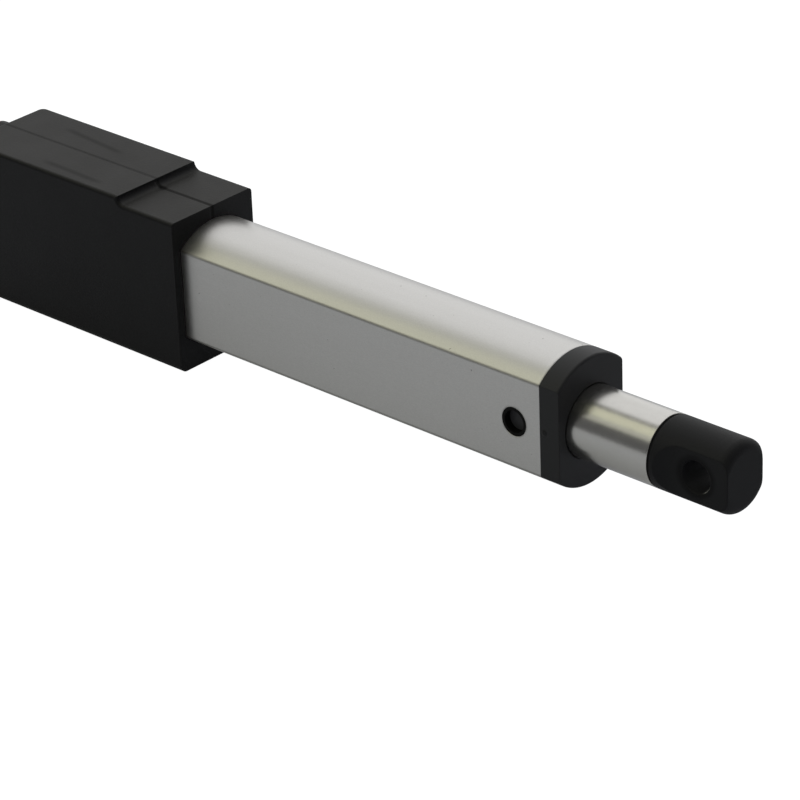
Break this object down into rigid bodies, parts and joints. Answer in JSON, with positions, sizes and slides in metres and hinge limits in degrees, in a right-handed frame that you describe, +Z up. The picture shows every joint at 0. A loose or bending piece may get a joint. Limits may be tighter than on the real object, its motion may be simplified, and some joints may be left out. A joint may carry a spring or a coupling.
{
  "type": "micro linear actuator",
  "caption": "Slim electric linear actuator: flat gearmotor housing, double-D tube, round rod and an eye at each end.",
  "frame": {"origin": "centre of the rear mounting eye, on the rod's axis", "axes": "+X along the rod towards its eye, +Y across the flat housing along the rear eye's bore, +Z up"},
  "size_m": [0.1289, 0.014, 0.0215],
  "materials": {
    "housing_plastic": "fine moulded texture",
    "cap_plastic": "smooth moulded",
    "eye_plastic": "smooth moulded",
    "tube_aluminium": "satin anodised",
    "rod_metal": "ground and polished",
    "screw_black": "black oxide",
    "seal_rubber": "matt",
    "motor_steel": "drawn",
    "bell_plastic": "moulded",
    "bush_bronze": "sintered",
    "terminal_tin": "tinned",
    "carbon": "pressed",
    "magnet_ferrite": "ground",
    "shaft_steel": "ground",
    "core_iron": "stacked sheets",
    "winding_copper": "enamelled",
    "contact_copper": "turned",
    "gear_brass": "hobbed",
    "plate_brass": "stamped",
    "screw_steel": "rolled",
    "bearing_steel": "polished",
    "nut_plastic": "natural moulded",
    "board_green": "solder mask",
    "chip_black": "moulded",
    "spring_bronze": "rolled strip"
  },
  "bodies": {
    "housing": {"housing_left": "housing_plastic", "housing_right": "housing_plastic", "housing_screws": "screw_black", "cable_grommet": "seal_rubber", "outer_tube": "tube_aluminium", "front_cap": "cap_plastic", "rod_wiper": "seal_rubber", "motor_can": "motor_steel", "motor_end_bell": "bell_plastic", "motor_bushes": "bush_bronze", "motor_terminals": "terminal_tin", "motor_brushes": "carbon", "motor_magnets": "magnet_ferrite", "gear_plate_rear": "plate_brass", "gear_plate_front": "plate_brass", "gear_pillars": "plate_brass", "gear_axle": "shaft_steel", "bearing_outer_ring": "bearing_steel", "track_board": "board_green", "board_chips": "chip_black"},
    "rotor": {"motor_shaft": "shaft_steel", "rotor_core": "core_iron", "rotor_windings": "winding_copper", "commutator": "contact_copper", "motor_pinion": "gear_brass"},
    "gear_one": {"first_gear": "gear_brass"},
    "gear_two": {"second_gear": "gear_brass"},
    "gear_three": {"third_gear": "gear_brass"},
    "screw": {"lead_screw": "screw_steel", "output_gear": "gear_brass", "screw_clip": "bearing_steel", "bearing_inner_ring": "bearing_steel"},
    "ball_set": {"bearing_balls": "bearing_steel", "bearing_cage": "plate_brass"},
    "rod": {"drive_nut": "nut_plastic", "rod_tube": "rod_metal", "rod_end": "eye_plastic", "sliding_contact": "spring_bronze"}
  },
  "joints": [
    {"name": "rod_slide", "type": "slide", "parent": "housing", "child": "rod", "axis": [1, 0, 0], "range_m": [0, 0.05]},
    {"name": "screw_spin", "type": "hinge", "parent": "housing", "child": "screw", "pos_m": [0.0314, 0, 0], "axis": [-1, 0, 0], "continuous": true},
    {"name": "ball_set_spin", "type": "hinge", "parent": "housing", "child": "ball_set", "pos_m": [0.0314, 0, 0], "axis": [-1, 0, 0], "continuous": true},
    {"name": "gear_three_spin", "type": "hinge", "parent": "housing", "child": "gear_three", "pos_m": [0.0225, 0, 0.0042], "axis": [-1, 0, 0], "continuous": true},
    {"name": "gear_two_spin", "type": "hinge", "parent": "housing", "child": "gear_two", "pos_m": [0.0225, 0, 0], "axis": [-1, 0, 0], "continuous": true},
    {"name": "gear_one_spin", "type": "hinge", "parent": "housing", "child": "gear_one", "pos_m": [0.0225, 0, 0.0042], "axis": [-1, 0, 0], "continuous": true},
    {"name": "rotor_spin", "type": "hinge", "parent": "housing", "child": "rotor", "pos_m": [0.015, 0, 0], "axis": [-1, 0, 0], "continuous": true}
  ],
  "couplings": [
    {"joint": "screw_spin", "follows": "rod_slide", "rad_per_m": 3141.6},
    {"joint": "ball_set_spin", "follows": "rod_slide", "rad_per_m": 1225.2},
    {"joint": "gear_three_spin", "follows": "rod_slide", "rad_per_m": -7854},
    {"joint": "gear_two_spin", "follows": "rod_slide", "rad_per_m": 19635},
    {"joint": "gear_one_spin", "follows": "rod_slide", "rad_per_m": -49087},
    {"joint": "rotor_spin", "follows": "rod_slide", "rad_per_m": 122720}
  ]
}
